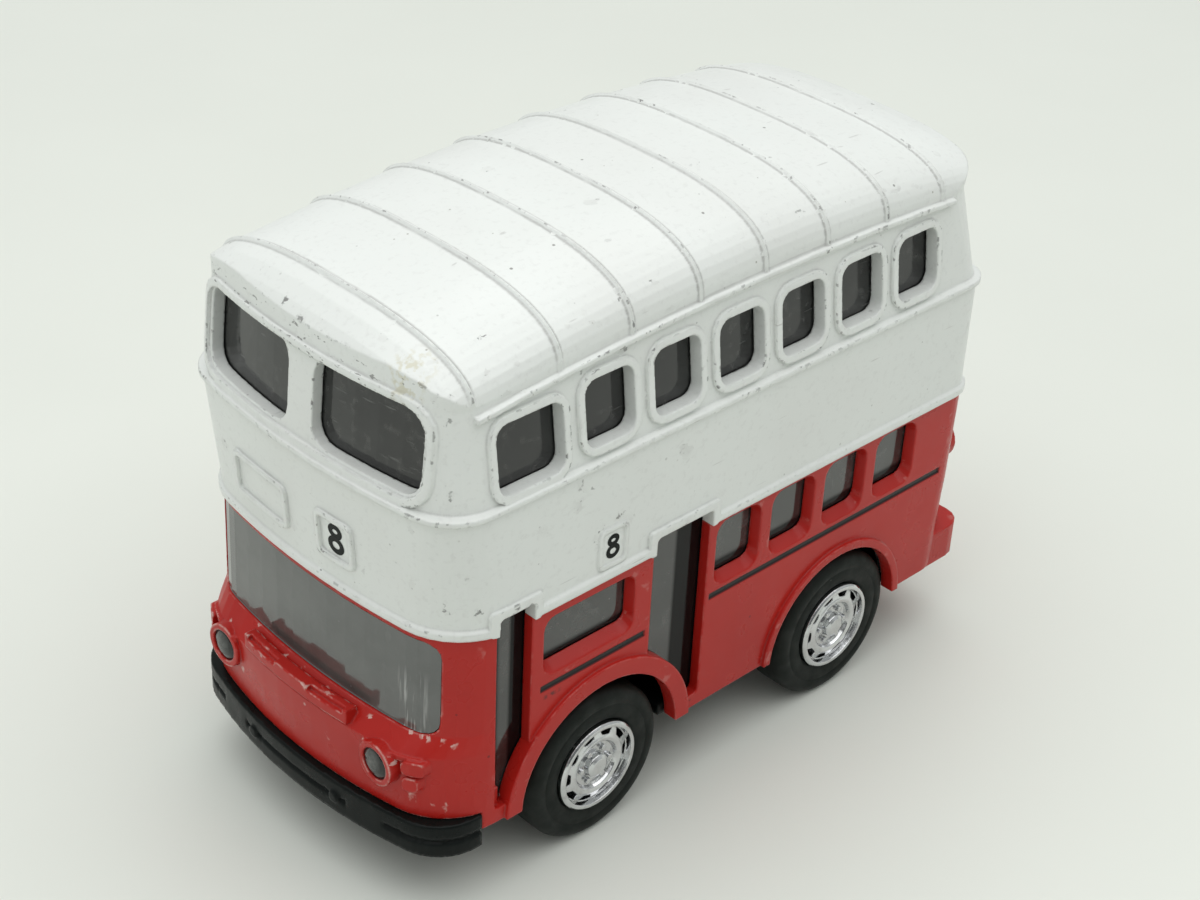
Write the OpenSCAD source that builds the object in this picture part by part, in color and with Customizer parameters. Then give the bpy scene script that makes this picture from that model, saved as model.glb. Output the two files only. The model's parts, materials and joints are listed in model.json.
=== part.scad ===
// Squat toy double-deck bus with a pull-back motor. Millimetres, +X forward, +Y to the left, +Z up.
// The origin is on the ground below the middle of the bus, and the doors are on the left side.

/* [Overall] */
// Distance between the axles
wheelbase = 44; // [42:0.5:48]
// Front axle to the tip of the front bumper
front_overhang = 28.7; // [28.4:0.1:30]
// Rear axle to the tip of the rear bumper
rear_overhang = 28; // [27:0.2:30]
// Width over the flat sides
body_width = 48.4; // [47:0.2:52]
// Wall of both castings
wall = 1.5; // [1.2:0.1:1.7]

/* [Heights] */
// Lower edge of the sides
sill_z = 11.2; // [10.8:0.1:11.6]
// Joint between the two castings
lip_z = 38.95; // [38.5:0.05:39.5]
// Height of the window band, from the middle of the waist bead to the top of the drip rail
band_h = 13.65; // [13.05:0.05:14.55]
// Rise of the roof above the drip rail
roof_rise = 8.25; // [6.8:0.05:8.8]
// Highest point of the roof
crown_z = 77.8; // [76:0.1:80]

/* [Plan of the body] */
// Front of the skirt at the joint, ahead of the front axle
skirt_front = 25.1; // [24.8:0.1:25.6]
// Front of the skirt at the waist, ahead of the front axle
waist_front = 26.3; // [26:0.1:26.8]
// Front of the nose, ahead of the front axle
nose_front = 28; // [27.6:0.1:28.4]
// Rear of the skirt, behind the rear axle
skirt_rear = 25.9; // [25.4:0.1:26.4]
// Bow of the front across the full width
front_bow = 2.6; // [2:0.1:3.2]
// Bow of the nose and the front bumper across the full width
nose_bow = 3.9; // [3.2:0.1:4.4]
// Bow of the rear across the full width
rear_bow = 2.5; // [1.5:0.1:3]
// Radius of the front corners at the joint
front_corner = 9; // [7:0.5:10]
// Radius of the rear corners
rear_corner = 4; // [3.5:0.5:6]
// Lean of the window band, millimetres inwards for each millimetre up
tumblehome = 0.13; // [0.08:0.01:0.16]

/* [Upper windows] */
// Lower edge of the side windows above the waist bead
upper_window_up = 2.1; // [1.7:0.1:3.1]
// Height of the side windows
upper_window_h = 8.4; // [7:0.1:8.6]
// Width of a side window
upper_window_w = 7.6; // [6:0.1:8.2]
// Width of the first side window
first_window_w = 9.8; // [8:0.1:10]
// Number of windows behind the first one
upper_window_count = 6; // [4:1:6]
// Corner post beside a front window
front_post = 5.2; // [5:0.1:8]
// Pillar between the two front windows
front_pillar = 4.4; // [3.6:0.1:6]
// Height of the front windows
front_window_h = 10.8; // [9:0.1:11]
// Corner radius of the upper windows
upper_window_r = 1.7; // [1:0.1:2.2]

/* [Lower windows and doors] */
// Lower edge of the small windows
lower_window_z = 30; // [29:0.1:31]
// Height of the small windows
lower_window_h = 8.3; // [7:0.1:8.4]
// Width of one small window
lower_window_w = 7; // [6:0.1:7.6]
// Number of small windows behind the rear door
lower_window_count = 4; // [3:1:4]
// Width of the window between the doors
mid_window_w = 13.6; // [11:0.1:14]
// Front edge of the front door, ahead of the front axle
front_door_x = 16.9; // [16.5:0.1:17.2]
// Width of the front door
front_door_w = 5.2; // [4:0.1:5.6]
// Front edge of the rear door, behind the front axle
rear_door_x = 7.7; // [7.4:0.1:8.2]
// Width of the rear door
rear_door_w = 9.6; // [8:0.1:10]
// Height of the doors' lower edge above the sill
door_step_h = 2; // [1.5:0.1:2.5]
// Reach of the door openings up into the upper casting
door_notch_h = 2.4; // [1.8:0.1:2.6]
// Corner post beside the windscreen
windscreen_post = 3.6; // [3.4:0.1:4.7]
// Lower edge of the windscreen
windscreen_z = 25; // [24.8:0.1:26]

/* [Trim] */
// How far the beads stand out
bead = 0.5; // [0.3:0.05:0.6]
// Height of a bead
bead_h = 1.2; // [0.9:0.1:1.5]
// How far the drip rail stands out
rail_out = 0.7; // [0.4:0.05:0.8]
// How far the roof ribs stand out
rib_h = 0.45; // [0.3:0.05:0.6]
// Width of a roof rib
rib_w = 0.8; // [0.6:0.1:1.2]
// Number of ribs behind the first one
rib_count = 7; // [5:1:8]
// Radius of the headlight lenses
headlight_r = 2.1; // [1.8:0.1:2.3]
// Middle of a headlight in from the side
headlight_in = 9.4; // [9:0.1:10.2]
// Height of the headlights
headlight_z = 20.2; // [19.6:0.1:20.4]
// Height of the front bumper
bumper_h = 4.7; // [4:0.1:5]
// Height of the rear bumper's main step
rear_bumper_h = 5.2; // [4.4:0.1:6]

/* [Wheels] */
// Radius of the tyres
tyre_r = 10.7; // [10.2:0.1:10.9]
// Width of the tyres
tyre_w = 7.2; // [6:0.1:7.4]
// Height of the tyres' walls, from the rim to the tread
tyre_h = 4.45; // [4.1:0.05:4.9]
// How far a hub stands out past the side
hub_out = 0.4; // [0.1:0.1:0.8]
// Radius of the axles
axle_r = 1; // [0.9:0.05:1.2]
// Number of openings in a hub
hub_slots = 10; // [8:1:12]
// Space between a front tyre and its arch
front_arch_gap = 2.3; // [1.7:0.1:2.5]
// Space between a rear tyre and its arch
rear_arch_gap = 1.7; // [1.5:0.1:2.3]

/* [Motor] */
// Module of the gears
gear_module = 0.5; // [0.45:0.01:0.52]
// Teeth of the pinion on the rear axle
pinion_teeth = 14; // [13:1:15]
// Teeth of the idler
idler_teeth = 20; // [19:1:21]
// Teeth of the spring drum
drum_teeth = 30; // [29:1:31]
// Face width of the gears
gear_w = 1.8; // [1.4:0.1:2]
// Turns of the mainspring
spring_turns = 5; // [4:0.5:5.5]
// Thickness of the mainspring's strip
spring_t = 0.25; // [0.2:0.05:0.3]
// Inside width of the motor's case
case_inner_w = 10; // [9.6:0.2:11]
// Wall of the motor's case
case_wall = 1.2; // [1:0.1:1.4]

/* [Fits] */
// Gap between parts that are fixed together
fixed_gap = 0.1; // [0.05:0.05:0.15]
// Radial clearance of turning shafts
running_gap = 0.06; // [0.03:0.01:0.1]

/* [Hidden] */
$fn = 64;
eps = 0.01;

// Axles and ends of the body
length = wheelbase + front_overhang + rear_overhang;
front_axle_x = length / 2 - front_overhang;
rear_axle_x = front_axle_x - wheelbase;
axle_z = tyre_r;
rim_r = tyre_r - tyre_h;
front_arch_r = tyre_r + front_arch_gap;
rear_arch_r = tyre_r + rear_arch_gap;
half_w = body_width / 2;
track_over_hubs = body_width + 2 * hub_out;
rail_z = crown_z - roof_rise;
waist_z = rail_z - band_h;

// Levels of the castings: height, half width, front, rear, bow, front corner, rear corner
band_step = 0.4;
lip_h = 1.3 * bead_h;
band_front_lean = 0.08;
rear_lean = 0.09;
rear_undercut = 1.6;
skirt_top_z = waist_z - bead_h / 2;
band_z = waist_z + bead_h / 2;
sky_z = crown_z + 4;
eaves_z = rail_z - 1;
waist_corner = 6.5;
band_corner = 4.5;
rear_band_corner = 7;
nose_foot_corner = 9;
nose_top_corner = 10.5;
nose_foot_in = 0.5;
nose_top_z = 22.6;
shoulder_out = 0.3;
shoulder_z = windscreen_z + 0.2;
body_rear_x = rear_axle_x - skirt_rear;
upper_levels = [
    [lip_z, half_w, front_axle_x + skirt_front, body_rear_x, front_bow, front_corner, rear_corner],
    [skirt_top_z, half_w, front_axle_x + waist_front, body_rear_x, front_bow, waist_corner, rear_corner],
    [band_z, half_w - band_step, front_axle_x + waist_front - band_step, body_rear_x + band_step,
        front_bow, waist_corner, rear_corner],
    band_level(eaves_z, band_half(eaves_z), eaves_z),
    band_level(sky_z, half_w, eaves_z)];
beaded_levels = [
    inset(upper_levels[0], -bead / 2),
    inset(skirt_level(lip_z + lip_h / 4), -bead),
    inset(skirt_level(lip_z + 3 * lip_h / 4), -bead),
    skirt_level(lip_z + lip_h),
    upper_levels[1],
    inset(at_height(upper_levels[1], waist_z - bead_h / 4), -bead),
    inset(at_height(upper_levels[1], waist_z + bead_h / 4), -bead),
    upper_levels[2],
    upper_levels[3],
    upper_levels[4]];
lower_levels = [
    [sill_z, half_w, front_axle_x + nose_front - nose_foot_in, body_rear_x + rear_undercut,
        nose_bow, nose_foot_corner, rear_corner],
    [nose_top_z, half_w, front_axle_x + nose_front, body_rear_x + rear_undercut / 2,
        nose_bow, nose_top_corner, rear_corner],
    [shoulder_z, half_w, front_axle_x + skirt_front + shoulder_out, body_rear_x + rear_undercut / 3,
        front_bow, front_corner, rear_corner],
    [lip_z, half_w, front_axle_x + skirt_front, body_rear_x, front_bow, front_corner, rear_corner]];

// Roof
roof_power = 2.67;
rail_bow = 0.001;
rail_peak_x = front_axle_x - 27;
crown_bow = 0.0019;
crown_peak_x = front_axle_x - 22;
first_rib_x = front_axle_x + 19.4;
second_rib_x = front_axle_x + 7;
last_rib_x = rear_axle_x - 14.3;
front_drop = 2.2;
front_reach = 5.4;
rear_drop = 0.6;
rear_reach = 9;
least_rise = 0.5;
roof_margin = 3;
roof_front_x = front_axle_x + waist_front + roof_margin;
roof_rear_x = body_rear_x - roof_margin;
roof_points = 28;
end_steps = 5;
plain_points = 16;
plain_steps = 10;
rail_steps = 12;

// Window rows
upper_window_z = waist_z + upper_window_up;
front_window_w = half_w - front_post - front_pillar / 2;
windscreen_half = half_w - windscreen_post;
window_rim = 1;
first_window_x = front_axle_x + 17;
upper_row_front = front_axle_x + 4;
upper_row_rear = rear_axle_x - 13;
door_rear_x = front_axle_x - rear_door_x - rear_door_w;
lower_row_front = door_rear_x - 1.9;
lower_row_rear = rear_axle_x - 12.2;
mid_window_front = front_axle_x + 9.3;
mid_window_z = lower_window_z + 0.5;
mid_window_h = 7;
mid_window_r = 1.2;
lower_window_r = 1.4;
jamb_splay = 0.55;
head_splay = 0.2;
sill_splay = 1.2;
first_window_z = upper_window_z - 0.8;
first_window_h = upper_window_h + 0.2;
front_window_z = upper_window_z - 0.4;
front_window_r = upper_window_r + 0.8;
rear_upper_w = front_window_w - 1;
rear_upper_h = front_window_h - 1.2;
rear_window_half = 12;
rear_window_h = 7.6;
door_r = 0.6;
windscreen_top = lip_z - 0.8;
windscreen_r = 2;
cut_out = 2;
cut_in = 8;

// Plates and frames: first and last edge across, lower and upper edge
plate_r = 1;
plate_rim = 0.7;
destination_plate = [-13.6, -2.6, lip_z + 4.05, lip_z + 10.25];
number_plate = [2.8, 9.2, lip_z + 4.25, lip_z + 10.65];
side_plate_edges = [front_axle_x - 3, front_axle_x + 1.8, lip_z + 1.65, lip_z + 7.35];
side_plate_rim = 0.6;
frame_margin = 1.5;
frame_drop = 1.2;
frame_r = 3.5;
frame_rim = 0.9;

// Stripe along the sides
stripe_z = lower_window_z - 2.7;
stripe_h = 0.8;
stripe_deep = 0.25;
stripe_end = 7;

// Wheel arches
rear_arch_shift = 1;
arch_proud = 0.6;
front_arch_lip = 2.4;
rear_arch_lip = 1.2;

// Nose
headlight_y = half_w - headlight_in;
lens_back_x = front_axle_x + nose_front - 4;
lens_l = 3;
lens_dome = 0.7;
bezel_l = 3.5;
bezel_t = 0.8;
bar_half = 9.9;
bar_out = 0.3;
bar_t = 1.7;
bar_top = windscreen_z + 2.2;
bar_bottom = nose_top_z + 0.4;
handle_y0 = 3.2;
handle_y1 = 9.2;
handle_slot_z = windscreen_z - 0.7;
handle_slot_h = 0.8;
handle_slot_deep = 0.7;
brow_out = 0.4;
brow_h = 0.7;
brow_in = 2.4;
brow_l = 7.8;
indicator_out = 0.9;
indicator_y = half_w - 5.8;
indicator_w = 2.4;
indicator_h = 2;
indicator_gap = 0.2;
indicator_foot_w = 1.8;

// Rear bumper and lamps
rear_tip_x = rear_axle_x - rear_overhang;
rear_bumper_z = sill_z - 0.8;
rear_bumper_half = half_w - 0.8;
rear_bumper_l = 12;
rear_bumper_r = 3;
rear_step_in = 1.8;
rear_step_h = 2.4;
lamp_y = half_w - 5.6;
lamp_z = 28.2;
lamp_r = 3.2;
lamp_l = 6;
lamp_in = 2.4;

// Base and bumper
floor_t = 1.6;
floor_top = sill_z + floor_t;
bumper_t = 2.2;
bumper_bottom = floor_top + 0.8 - bumper_h;
bumper_end_x = front_axle_x + 18.8;
bumper_corner = 7;
bumper_plan = [0, half_w, front_axle_x + front_overhang, rear_axle_x, nose_bow, bumper_corner, rear_corner];
bumper_top = bumper_bottom + bumper_h;
groove_h = 0.5;
groove_deep = 0.35;
pad_y0 = 9.8;
pad_y1 = 15.8;
pad_in = 1;
knob_y = 8;
knob_r = 0.8;
knob_in = 0.15;
axle_block_l = 5.2;
axle_slot = 0.5;
well_t = 1;
wheel_gap = 1.2;
inner_y = track_over_hubs / 2 - tyre_w - 1.6;
lug_l = 3;
lug_in = 7;
post_r = 2.6;
post_front_x = front_axle_x + 12;
post_rear_x = rear_axle_x - 16.8;
screw_r = 1.1;
screw_head_r = 2.1;
screw_head_h = 1.2;
screw_head_deep = 0.6;
screw_seat = bumper_bottom + screw_head_h + screw_head_deep;
screw_l = 9;
screw_boss_t = 1.2;
cross_l = 2.6;
cross_w = 0.5;
cross_deep = 0.7;
glass_t = 1;
glass_in = 0.15;
flange = 0.8;
glazing_front_x = front_axle_x + front_door_x + flange;
glazing_top = lip_z + door_notch_h + 1;

// Wheels
hub_w = tyre_w + 0.2;
axle_half = track_over_hubs / 2 - 2.2;
hub_boss_r = 2.2;
hub_end = hub_w - track_over_hubs / 2 + axle_half;
hub_ring_r = rim_r * 0.68;
rim_t = 0.7;
web_in = 3;
cap_r = 1.6;
nut_count = 6;
nut_r = 0.42;
nut_h = 0.9;
slot_margin = 0.15;
nut_circle_r = 2.35;
tyre_edge = 1.3;
tyre_crown = 0.25;
tyre_in = 0.4;
tyre_face = hub_w - 0.5;

// Gears
idler_angle = 15;
drum_angle = 125;
pinion_pitch = gear_module * pinion_teeth / 2;
idler_pitch = gear_module * idler_teeth / 2;
drum_pitch = gear_module * drum_teeth / 2;
gear_backlash = 0.06;
pressure_angle = 20;
addendum = 0.9 * gear_module;
dedendum = 1.2 * gear_module;
pinion_at = [rear_axle_x, axle_z];
idler_at = pinion_at + (pinion_pitch + idler_pitch) * [cos(idler_angle), sin(idler_angle)];
drum_at = idler_at + (idler_pitch + drum_pitch) * [cos(drum_angle), sin(drum_angle)];
idler_phase = idler_angle + 180 + 180 / idler_teeth;
drum_phase = drum_angle + 180 - (idler_phase - drum_angle) * idler_teeth / drum_teeth + 180 / drum_teeth;
gear_side = case_inner_w / 2 - 0.6;
arbor_r = 1.3;
idler_pin_r = 0.8;
drum_cup_r = drum_pitch - dedendum;
drum_cup_t = 0.6;
end_float = 0.2;
sleeve_t = 1;
cup_floor = 0.8;
case_rear_x = drum_at.x - drum_pitch - addendum - 0.7 - case_wall;
case_front_x = idler_at.x + idler_pitch + addendum + 0.7 + case_wall;
case_bottom = axle_z - pinion_pitch - addendum - 0.4 - case_wall;
case_top = drum_at.y + drum_pitch + addendum + 0.6 + case_wall;
case_half_w = case_inner_w / 2 + case_wall;
case_r = 3;
tab_l = 3.8;
tab_w = 6;
tab_t = 1.4;
motor_screw_r = 0.8;
motor_screw_head_r = 1.5;
motor_screw_head_h = 0.9;
motor_screw_l = 2;
motor_boss_r = 1.7;
pin_gap = 0.4;
motor_screw_x = [case_front_x + tab_l / 2, case_rear_x - tab_l / 2];

// Colours
white = "whitesmoke";
red = "firebrick";
smoke = [0.2, 0.21, 0.22];
grey_glass = [0.5, 0.52, 0.52];
black = [0.08, 0.09, 0.09];
chrome = [0.8, 0.81, 0.83];
steel = [0.6, 0.6, 0.62];

// Level of the skirt, and of the window band, whose rear leans in up to rear_z
function skirt_level(z) = mix_levels(upper_levels[0], upper_levels[1], z);
function band_level(z, half, rear_z) = [z, half,
    front_axle_x + waist_front - band_step - band_front_lean * (z - band_z),
    body_rear_x + band_step + rear_lean * (rear_z - band_z), front_bow, band_corner, rear_band_corner];

// Points round a plan: half of it from the front's middle to the rear, then its mirror image
bow_steps = 5;
corner_steps = 8;
function plan_half(w, front, rear, bow, rf, rr) =
    let (cy = w - rf,
        turn = atan(2 * bow * cy / (w * w)),
        y0 = cy + rf * sin(turn),
        cx = front - bow * pow(y0 / w, 2) - rf * cos(turn),
        ry = w - rr,
        rear_turn = atan(2 * rear_bow * ry / (w * w)),
        ry0 = ry + rr * sin(rear_turn),
        rx = rear + rear_bow * pow(ry0 / w, 2) + rr * cos(rear_turn))
    concat(
        [for (i = [0 : bow_steps - 1]) let (y = y0 * i / bow_steps) [front - bow * pow(y / w, 2), y]],
        [for (i = [0 : corner_steps]) let (a = turn + (90 - turn) * i / corner_steps)
            [cx + rf * cos(a), cy + rf * sin(a)]],
        [for (i = [0 : corner_steps]) let (a = 90 + (90 - rear_turn) * i / corner_steps)
            [rx + rr * cos(a), ry + rr * sin(a)]],
        [for (i = [bow_steps - 1 : -1 : 0]) let (y = ry0 * i / bow_steps)
            [rear + rear_bow * pow(y / w, 2), y]]);
function mirrored(half) =
    concat(half, [for (i = [len(half) - 2 : -1 : 1]) [half[i].x, -half[i].y]]);
function level_plan(l) = mirrored(plan_half(l[1], l[2], l[3], l[4], l[5], l[6]));
function inset(l, t) =
    [l[0], l[1] - t, l[2] - t, l[3] + t, l[4], max(l[5] - t, 1), max(l[6] - t, 1)];
function level_ring(l) = [for (p = level_plan(l)) [p.x, p.y, l[0]]];
function at_height(l, z) = [z, l[1], l[2], l[3], l[4], l[5], l[6]];
function mix_levels(a, b, z) = a + (b - a) * (z - a[0]) / (b[0] - a[0]);
function nose_plan(out) =
    level_plan([0, half_w, front_axle_x + nose_front + out, rear_axle_x,
        nose_bow, nose_top_corner, rear_corner]);

// Roof heights, and one cross-section of the roof grown by g
function band_half(z) = half_w - band_step - tumblehome * (z - band_z);
function rail_at(x) = rail_z - rail_bow * pow(x - rail_peak_x, 2);
function end_drop(x) =
    front_drop * pow(max(0, x - first_rib_x) / front_reach, 2)
    + rear_drop * pow(max(0, last_rib_x - x) / rear_reach, 3);
function crown_at(x) = crown_z - crown_bow * pow(x - crown_peak_x, 2) - end_drop(x);
function signed_pow(v, e) = sign(v) * pow(abs(v), e);
function roof_arc(x, g, steps) =
    let (rail = rail_at(x), half = band_half(rail) + g, h = max(crown_at(x) + g - rail, least_rise))
    [for (i = [0 : steps]) let (t = 180 * i / steps)
        [x, half * signed_pow(cos(t), 2 / roof_power), rail + h * pow(sin(t), 2 / roof_power)]];
function tunnel_ring(x, g, steps, floor_z) =
    let (rail = rail_at(x), out = body_width)
    concat([[x, out, floor_z], [x, out, rail]], roof_arc(x, g, steps),
        [[x, -out, rail], [x, -out, floor_z]]);

// Stations along the roof with the growth of the roof at each: three make a rib
function rib_stations(x) = [[x - rib_w / 2, 0], [x, rib_h], [x + rib_w / 2, 0]];
function ribbed_roof() = concat(
    [for (i = [0 : end_steps - 1]) [roof_rear_x + (last_rib_x - rib_w - roof_rear_x) * i / end_steps, 0]],
    [for (i = [rib_count - 1 : -1 : 0])
        each rib_stations(second_rib_x + (last_rib_x - second_rib_x) * i / (rib_count - 1))],
    rib_stations(first_rib_x),
    [for (i = [1 : end_steps])
        [first_rib_x + rib_w / 2 + (roof_front_x - first_rib_x - rib_w / 2) * i / end_steps, 0]]);
function plain_roof() = [for (i = [0 : plain_steps])
    [roof_rear_x + (roof_front_x - roof_rear_x) * (1 - cos(180 * i / plain_steps)) / 2, 0]];

// Closed solid through rings of equal point counts, each anticlockwise seen from the last ring's side
module skin(rings) {
    n = len(rings[0]);
    last = len(rings) - 1;
    polyhedron(
        points = [for (r = rings) for (p = r) p],
        faces = concat(
            [[for (i = [0 : n - 1]) i]],
            [for (r = [0 : last - 1]) for (i = [0 : n - 1])
                let (j = (i + 1) % n) [r * n + i, (r + 1) * n + i, (r + 1) * n + j]],
            [for (r = [0 : last - 1]) for (i = [0 : n - 1])
                let (j = (i + 1) % n) [r * n + i, (r + 1) * n + j, r * n + j]],
            [[for (i = [n - 1 : -1 : 0]) last * n + i]]));
}

// Rounded rectangle as points
function rounded(x0, x1, z0, z1, r, steps = 4) =
    [for (c = [[x1 - r, z1 - r, 0], [x0 + r, z1 - r, 90], [x0 + r, z0 + r, 180], [x1 - r, z0 + r, 270]])
        for (i = [0 : steps]) let (a = c[2] + 90 * i / steps) [c[0] + r * cos(a), c[1] + r * sin(a)]];

// Prisms along Y and along X with a rounded outline
module side_prism(x0, x1, z0, z1, r, y0, y1) {
    translate([0, y1, 0])
        rotate([90, 0, 0])
            linear_extrude(y1 - y0)
                polygon(rounded(x0, x1, z0, z1, r));
}
module front_prism(y0, y1, z0, z1, r, x0, x1) {
    translate([x0, 0, 0])
        rotate([90, 0, 90])
            linear_extrude(x1 - x0)
                polygon(rounded(y0, y1, z0, z1, r));
}
module front_frame(e, r, t, x0, x1) {
    translate([x0, 0, 0])
        rotate([90, 0, 90])
            linear_extrude(x1 - x0)
                difference() {
                    polygon(rounded(e[0], e[1], e[2], e[3], r));
                    polygon(rounded(e[0] + t, e[1] - t, e[2] + t, e[3] - t, r - t / 2));
                }
}
module plan_band(outer, inner, z0, z1) {
    translate([0, 0, z0])
        linear_extrude(z1 - z0)
            difference() {
                polygon(outer);
                polygon(inner);
            }
}
module slab(z0, z1) {
    translate([-length, -body_width, z0])
        cube([2 * length, 2 * body_width, z1 - z0]);
}
module both_sides() {
    children();
    mirror([0, 1, 0])
        children();
}
module along_y(x, z) {
    translate([x, 0, z])
        rotate([-90, 0, 0])
            children();
}

// Upper casting
module upper_walls(g) {
    skin([for (l = upper_levels) level_ring(inset(l, -g))]);
}
module roof_tunnel(g, stations, points) {
    skin([for (s = stations) tunnel_ring(s[0], g + s[1], points, lip_z - cut_out)]);
}
module plain_shape(g) {
    bottom = at_height(upper_levels[0], lip_z - 1);
    intersection() {
        skin([for (i = [0 : len(upper_levels) - 1])
            level_ring(inset(i == 0 ? bottom : upper_levels[i], -g))]);
        roof_tunnel(g, plain_roof(), plain_points);
    }
}
module beaded_shape() {
    intersection() {
        skin([for (l = beaded_levels) level_ring(l)]);
        roof_tunnel(0, ribbed_roof(), roof_points);
    }
}
module drip_rail() {
    x0 = body_rear_x + rear_bow + rear_band_corner;
    both_sides()
        skin([for (i = [0 : rail_steps])
            let (x = x0 + (first_rib_x - x0) * i / rail_steps, z = rail_at(x), y = band_half(z))
            [[x, y - wall / 2, z - bead_h / 2], [x, y + rail_out, z - bead_h / 4],
                [x, y + rail_out, z + bead_h / 4], [x, y - wall / 2, z + bead_h / 2]]]);
}
module front_trim() {
    frame_half = front_pillar / 2 + front_window_w + frame_margin;
    frame_top = front_window_z + front_window_h + frame_rim;
    x0 = front_axle_x + skirt_front - cut_in;
    x1 = front_axle_x + front_overhang;
    intersection() {
        upper_walls(bead);
        union() {
            front_frame([-frame_half, frame_half, front_window_z - frame_drop, frame_top],
                frame_r, frame_rim, x0, x1);
            front_frame(destination_plate, plate_r, plate_rim, x0, x1);
            front_frame(number_plate, plate_r, plate_rim, x0, x1);
        }
    }
}
module side_plate() {
    e = side_plate_edges;
    t = side_plate_rim;
    difference() {
        side_prism(e[0], e[1], e[2], e[3], plate_r, half_w - wall / 2, half_w + bead / 2);
        side_prism(e[0] + t, e[1] - t, e[2] + t, e[3] - t, plate_r - t / 2, half_w - wall, half_w + bead);
    }
}
module side_frames() {
    rim = bead_h;
    intersection() {
        upper_walls(bead);
        union() {
            for (d = doors())
                side_prism(d[1] - rim, d[0] + rim, lip_z, lip_z + door_notch_h + rim, door_r,
                    half_w - cut_in, half_w + cut_out);
            upper_side_windows(window_rim);
        }
    }
}
module upper_side_windows(rim) {
    pitch = (upper_row_front - upper_row_rear - upper_window_w) / (upper_window_count - 1);
    first = [[first_window_x - first_window_w, first_window_x, first_window_z, first_window_h]];
    rest = [for (i = [0 : upper_window_count - 1]) let (x = upper_row_front - i * pitch)
        [x - upper_window_w, x, upper_window_z, upper_window_h]];
    both_sides()
        for (w = concat(first, rest))
            side_prism(w[0] - rim, w[1] + rim, w[2] - rim, w[2] + w[3] + rim, upper_window_r + rim,
                half_w - cut_in, half_w + cut_out);
}
function doors() = [
    [front_axle_x + front_door_x, front_axle_x + front_door_x - front_door_w],
    [front_axle_x - rear_door_x, door_rear_x]];
module door_notches() {
    for (d = doors())
        side_prism(d[1], d[0], lip_z - cut_out, lip_z + door_notch_h, door_r,
            half_w - cut_in, half_w + cut_out);
}
module upper_windows() {
    upper_side_windows(0);
    both_sides() {
        front_prism(front_pillar / 2, front_pillar / 2 + front_window_w, front_window_z,
            front_window_z + front_window_h, front_window_r, post_front_x, front_axle_x + front_overhang);
        front_prism(front_pillar / 2, front_pillar / 2 + rear_upper_w, front_window_z,
            front_window_z + rear_upper_h, front_window_r, body_rear_x - cut_out, body_rear_x + cut_in);
    }
}
module post(x) {
    difference() {
        translate([x, 0, floor_top])
            cylinder(r = post_r, h = min(crown_at(x - post_r), crown_at(x + post_r)) - wall / 2 - floor_top);
        translate([x, 0, floor_top - eps])
            cylinder(r = screw_r, h = screw_l);
    }
}
module upper_casting() {
    color(white) {
        difference() {
            union() {
                beaded_shape();
                drip_rail();
                front_trim();
                side_plate();
                side_frames();
            }
            plain_shape(-wall);
            upper_windows();
            door_notches();
        }
        post(post_front_x);
        post(post_rear_x);
    }
}

// Lower casting
module lower_shape(g, from_z = sill_z, to_z = lip_z) {
    bottom = at_height(lower_levels[0], from_z);
    top = at_height(lower_levels[3], to_z);
    skin([for (l = [bottom, lower_levels[1], lower_levels[2], top]) level_ring(inset(l, -g))]);
}
module arch_rings() {
    both_sides() {
        arch_ring(front_axle_x, front_arch_r, front_arch_lip);
        arch_ring(rear_axle_x + rear_arch_shift, rear_arch_r, rear_arch_lip);
    }
}
module arch_ring(x, r, lip) {
    intersection() {
        translate([x, half_w - wall, axle_z])
            rotate([-90, 0, 0])
                cylinder(r = r + lip, h = wall + arch_proud);
        slab(sill_z, lip_z);
    }
}
module arch_cuts(grow) {
    for (a = [[front_axle_x, front_arch_r], [rear_axle_x + rear_arch_shift, rear_arch_r]])
        along_y(a[0], axle_z)
            for (s = [-1, 1])
                translate([0, 0, s * (half_w + cut_out - cut_in / 2 - 1)])
                    cylinder(r = a[1] + grow, h = cut_in + 2, center = true);
}
module windscreen_prism(shrink) {
    front_prism(-windscreen_half + shrink, windscreen_half - shrink, windscreen_z + shrink,
        windscreen_top - shrink, windscreen_r - shrink, post_front_x, front_axle_x + front_overhang);
}
// Lower windows, each widened outwards through the wall, most of all at its sill
function splay_ring(w, r, y, k) =
    [for (p = rounded(w[0] + eps - k * jamb_splay, w[1] - eps + k * jamb_splay,
        w[2] + eps - k * sill_splay, w[3] - eps + k * head_splay, r + k * jamb_splay)) [p[0], y, p[1]]];
module side_window(w, r) {
    side_prism(w[0], w[1], w[2], w[3], r, half_w - cut_in, half_w + cut_out);
    skin([splay_ring(w, r, half_w + cut_out, 1 + cut_out / wall), splay_ring(w, r, half_w - wall, 0)]);
}
module lower_side_windows() {
    top = lower_window_z + lower_window_h;
    extra_x = front_axle_x - rear_door_x - rear_door_w / 2;
    pitch = (lower_row_front - lower_row_rear - lower_window_w) / (lower_window_count - 1);
    both_sides() {
        side_window([mid_window_front - mid_window_w, mid_window_front, mid_window_z,
            mid_window_z + mid_window_h], mid_window_r);
        for (i = [0 : lower_window_count - 1]) {
            x = lower_row_front - i * pitch;
            side_window([x - lower_window_w, x, lower_window_z, top], lower_window_r);
        }
    }
    mirror([0, 1, 0])
        side_window([extra_x - lower_window_w / 2, extra_x + lower_window_w / 2, lower_window_z, top],
            lower_window_r);
    front_prism(-rear_window_half, rear_window_half, lower_window_z, lower_window_z + rear_window_h,
        lower_window_r, body_rear_x - cut_out, body_rear_x + cut_in);
}
module lower_doors() {
    for (d = doors())
        side_prism(d[1], d[0], sill_z + door_step_h, lip_z + cut_out, door_r,
            half_w - cut_in, half_w + cut_out);
}
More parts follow.
